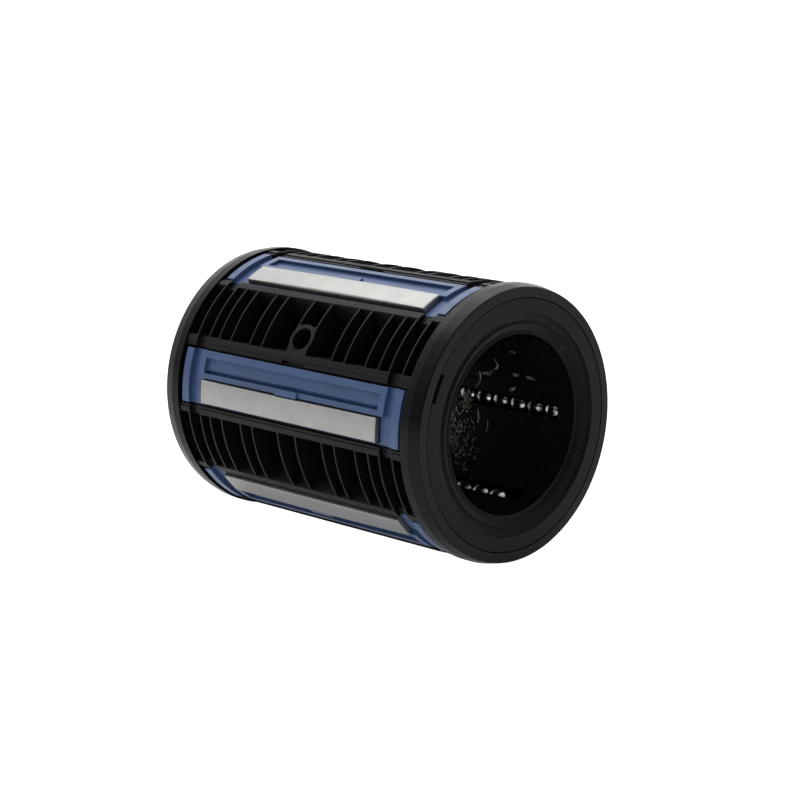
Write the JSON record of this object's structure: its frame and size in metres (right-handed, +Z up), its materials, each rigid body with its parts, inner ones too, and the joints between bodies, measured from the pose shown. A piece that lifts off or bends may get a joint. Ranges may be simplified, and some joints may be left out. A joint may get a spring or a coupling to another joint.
{
  "type": "linear ball bushing",
  "caption": "Closed, sealed linear ball bushing: ribbed black cage with blue track covers, ground steel raceway plates and recirculating ball circuits along the shaft bore.",
  "frame": {"origin": "centre of the bushing, on the shaft axis halfway between the two end faces", "axes": "+X along the shaft axis out of the front end, +Z up, with the lubrication hole between -Y and +Z"},
  "size_m": [0.1, 0.075, 0.0746],
  "materials": {
    "black_plastic": "moulded black engineering plastic, fine matt grain",
    "ring_plastic": "turned or moulded black plastic with a satin edge",
    "seal_rubber": "matt black nitrile rubber",
    "blue_plastic": "moulded blue plastic, satin",
    "plate_steel": "hardened bearing steel, finely ground back",
    "ball_steel": "polished bearing steel with a film of grease"
  },
  "bodies": {
    "root": {"cage": "black_plastic", "front_end_ring": "ring_plastic", "rear_end_ring": "ring_plastic", "front_shaft_seal": "seal_rubber", "rear_shaft_seal": "seal_rubber", "track_cover_1": "blue_plastic", "track_cover_2": "blue_plastic", "track_cover_3": "blue_plastic", "track_cover_4": "blue_plastic", "track_cover_5": "blue_plastic", "track_cover_6": "blue_plastic"},
    "raceway_plate_1": {"raceway_plate_1": "plate_steel"},
    "loaded_balls_1": {"loaded_balls_1": "ball_steel"},
    "return_balls_1": {"return_balls_1": "ball_steel"},
    "front_turn_balls_1": {"front_turn_balls_1": "ball_steel"},
    "rear_turn_balls_1": {"rear_turn_balls_1": "ball_steel"},
    "raceway_plate_2": {"raceway_plate_2": "plate_steel"},
    "loaded_balls_2": {"loaded_balls_2": "ball_steel"},
    "return_balls_2": {"return_balls_2": "ball_steel"},
    "front_turn_balls_2": {"front_turn_balls_2": "ball_steel"},
    "rear_turn_balls_2": {"rear_turn_balls_2": "ball_steel"},
    "raceway_plate_3": {"raceway_plate_3": "plate_steel"},
    "loaded_balls_3": {"loaded_balls_3": "ball_steel"},
    "return_balls_3": {"return_balls_3": "ball_steel"},
    "front_turn_balls_3": {"front_turn_balls_3": "ball_steel"},
    "rear_turn_balls_3": {"rear_turn_balls_3": "ball_steel"},
    "raceway_plate_4": {"raceway_plate_4": "plate_steel"},
    "loaded_balls_4": {"loaded_balls_4": "ball_steel"},
    "return_balls_4": {"return_balls_4": "ball_steel"},
    "front_turn_balls_4": {"front_turn_balls_4": "ball_steel"},
    "rear_turn_balls_4": {"rear_turn_balls_4": "ball_steel"},
    "raceway_plate_5": {"raceway_plate_5": "plate_steel"},
    "loaded_balls_5": {"loaded_balls_5": "ball_steel"},
    "return_balls_5": {"return_balls_5": "ball_steel"},
    "front_turn_balls_5": {"front_turn_balls_5": "ball_steel"},
    "rear_turn_balls_5": {"rear_turn_balls_5": "ball_steel"},
    "raceway_plate_6": {"raceway_plate_6": "plate_steel"},
    "loaded_balls_6": {"loaded_balls_6": "ball_steel"},
    "return_balls_6": {"return_balls_6": "ball_steel"},
    "front_turn_balls_6": {"front_turn_balls_6": "ball_steel"},
    "rear_turn_balls_6": {"rear_turn_balls_6": "ball_steel"}
  },
  "joints": [
    {"name": "plate_rock_1", "type": "hinge", "parent": "root", "child": "raceway_plate_1", "pos_m": [0, -0.01679, 0.03353], "axis": [0, -0.8942, -0.4478], "range_deg": [-0.5, 0.5]},
    {"name": "loaded_run_1", "type": "slide", "parent": "raceway_plate_1", "child": "loaded_balls_1", "axis": [1, 0, 0], "range_m": [-0.00257, 0.00385]},
    {"name": "return_run_1", "type": "slide", "parent": "root", "child": "return_balls_1", "axis": [1, 0, 0], "range_m": [-0.00385, 0.00257]},
    {"name": "front_turn_run_1", "type": "hinge", "parent": "root", "child": "front_turn_balls_1", "pos_m": [0.03852, -0.00902, 0.02806], "axis": [0, -0.6234, 0.7819], "range_deg": [-36.01, 54.01]},
    {"name": "rear_turn_run_1", "type": "hinge", "parent": "root", "child": "rear_turn_balls_1", "pos_m": [-0.03852, -0.00902, 0.02806], "axis": [0, -0.6234, 0.7819], "range_deg": [-36.01, 54.01]},
    {"name": "plate_rock_2", "type": "hinge", "parent": "root", "child": "raceway_plate_2", "pos_m": [0, -0.03743, 0.00222], "axis": [0, -0.0593, -0.9982], "range_deg": [-0.5, 0.5]},
    {"name": "loaded_run_2", "type": "slide", "parent": "raceway_plate_2", "child": "loaded_balls_2", "axis": [1, 0, 0], "range_m": [-0.00481, 0.00161]},
    {"name": "return_run_2", "type": "slide", "parent": "root", "child": "return_balls_2", "axis": [1, 0, 0], "range_m": [-0.00161, 0.00482]},
    {"name": "front_turn_run_2", "type": "hinge", "parent": "root", "child": "front_turn_balls_2", "pos_m": [0.03852, -0.02881, 0.00622], "axis": [0, -0.9888, -0.149], "range_deg": [-67.51, 22.51]},
    {"name": "rear_turn_run_2", "type": "hinge", "parent": "root", "child": "rear_turn_balls_2", "pos_m": [-0.03852, -0.02881, 0.00622], "axis": [0, -0.9888, -0.149], "range_deg": [-67.51, 22.51]},
    {"name": "plate_rock_3", "type": "hinge", "parent": "root", "child": "raceway_plate_3", "pos_m": [0, -0.02725, -0.02577], "axis": [0, 0.6871, -0.7266], "range_deg": [-0.5, 0.5]},
    {"name": "loaded_run_3", "type": "slide", "parent": "raceway_plate_3", "child": "loaded_balls_3", "axis": [1, 0, 0], "range_m": [-0.00353, 0.00289]},
    {"name": "return_run_3", "type": "slide", "parent": "root", "child": "return_balls_3", "axis": [1, 0, 0], "range_m": [-0.00289, 0.00353]},
    {"name": "front_turn_run_3", "type": "hinge", "parent": "root", "child": "front_turn_balls_3", "pos_m": [0.03852, -0.01807, -0.02328], "axis": [0, 0.8532, 0.5215], "range_deg": [-49.51, 40.51]},
    {"name": "rear_turn_run_3", "type": "hinge", "parent": "root", "child": "rear_turn_balls_3", "pos_m": [-0.03852, -0.01807, -0.02328], "axis": [0, 0.8532, 0.5215], "range_deg": [-49.51, 40.51]},
    {"name": "plate_rock_4", "type": "hinge", "parent": "root", "child": "raceway_plate_4", "pos_m": [0, 0.01679, -0.03353], "axis": [0, 0.8942, 0.4478], "range_deg": [-0.5, 0.5]},
    {"name": "loaded_run_4", "type": "slide", "parent": "raceway_plate_4", "child": "loaded_balls_4", "axis": [1, 0, 0], "range_m": [0, 0.00642]},
    {"name": "return_run_4", "type": "slide", "parent": "root", "child": "return_balls_4", "axis": [1, 0, 0], "range_m": [-0.00642, 0]},
    {"name": "front_turn_run_4", "type": "hinge", "parent": "root", "child": "front_turn_balls_4", "pos_m": [0.03852, 0.00902, -0.02806], "axis": [0, 0.6234, -0.7819], "range_deg": [-0.01, 90.01]},
    {"name": "rear_turn_run_4", "type": "hinge", "parent": "root", "child": "rear_turn_balls_4", "pos_m": [-0.03852, 0.00902, -0.02806], "axis": [0, 0.6234, -0.7819], "range_deg": [-0.01, 90.01]},
    {"name": "plate_rock_5", "type": "hinge", "parent": "root", "child": "raceway_plate_5", "pos_m": [0, 0.03743, -0.00222], "axis": [0, 0.0593, 0.9982], "range_deg": [-0.5, 0.5]},
    {"name": "loaded_run_5", "type": "slide", "parent": "raceway_plate_5", "child": "loaded_balls_5", "axis": [1, 0, 0], "range_m": [-0.00019, 0.00623]},
    {"name": "return_run_5", "type": "slide", "parent": "root", "child": "return_balls_5", "axis": [1, 0, 0], "range_m": [-0.00623, 0.00019]},
    {"name": "front_turn_run_5", "type": "hinge", "parent": "root", "child": "front_turn_balls_5", "pos_m": [0.03852, 0.02881, -0.00622], "axis": [0, 0.9888, 0.149], "range_deg": [-2.71, 87.31]},
    {"name": "rear_turn_run_5", "type": "hinge", "parent": "root", "child": "rear_turn_balls_5", "pos_m": [-0.03852, 0.02881, -0.00622], "axis": [0, 0.9888, 0.149], "range_deg": [-2.71, 87.31]},
    {"name": "plate_rock_6", "type": "hinge", "parent": "root", "child": "raceway_plate_6", "pos_m": [0, 0.02064, 0.03131], "axis": [0, -0.8348, 0.5505], "range_deg": [-0.5, 0.5]},
    {"name": "loaded_run_6", "type": "slide", "parent": "raceway_plate_6", "child": "loaded_balls_6", "axis": [1, 0, 0], "range_m": [-0.00629, 0.00013]},
    {"name": "return_run_6", "type": "slide", "parent": "root", "child": "return_balls_6", "axis": [1, 0, 0], "range_m": [-0.00013, 0.00629]},
    {"name": "front_turn_run_6", "type": "hinge", "parent": "root", "child": "front_turn_balls_6", "pos_m": [0.03852, 0.01979, 0.02184], "axis": [0, 0.3654, 0.9308], "range_deg": [-88.21, 1.81]},
    {"name": "rear_turn_run_6", "type": "hinge", "parent": "root", "child": "rear_turn_balls_6", "pos_m": [-0.03852, 0.01979, 0.02184], "axis": [0, 0.3654, 0.9308], "range_deg": [-88.21, 1.81]}
  ],
  "couplings": [
    {"joint": "front_turn_run_1", "follows": "loaded_run_1", "rad_per_m": 244.67},
    {"joint": "rear_turn_run_1", "follows": "loaded_run_1", "rad_per_m": 244.67},
    {"joint": "return_run_1", "follows": "loaded_run_1", "ratio": -1},
    {"joint": "front_turn_run_2", "follows": "loaded_run_2", "rad_per_m": 244.67},
    {"joint": "rear_turn_run_2", "follows": "loaded_run_2", "rad_per_m": 244.67},
    {"joint": "return_run_2", "follows": "loaded_run_2", "ratio": -1},
    {"joint": "front_turn_run_3", "follows": "loaded_run_3", "rad_per_m": 244.67},
    {"joint": "rear_turn_run_3", "follows": "loaded_run_3", "rad_per_m": 244.67},
    {"joint": "return_run_3", "follows": "loaded_run_3", "ratio": -1},
    {"joint": "front_turn_run_4", "follows": "loaded_run_4", "rad_per_m": 244.67},
    {"joint": "rear_turn_run_4", "follows": "loaded_run_4", "rad_per_m": 244.67},
    {"joint": "return_run_4", "follows": "loaded_run_4", "ratio": -1},
    {"joint": "front_turn_run_5", "follows": "loaded_run_5", "rad_per_m": 244.67},
    {"joint": "rear_turn_run_5", "follows": "loaded_run_5", "rad_per_m": 244.67},
    {"joint": "return_run_5", "follows": "loaded_run_5", "ratio": -1},
    {"joint": "front_turn_run_6", "follows": "loaded_run_6", "rad_per_m": 244.67},
    {"joint": "rear_turn_run_6", "follows": "loaded_run_6", "rad_per_m": 244.67},
    {"joint": "return_run_6", "follows": "loaded_run_6", "ratio": -1}
  ]
}
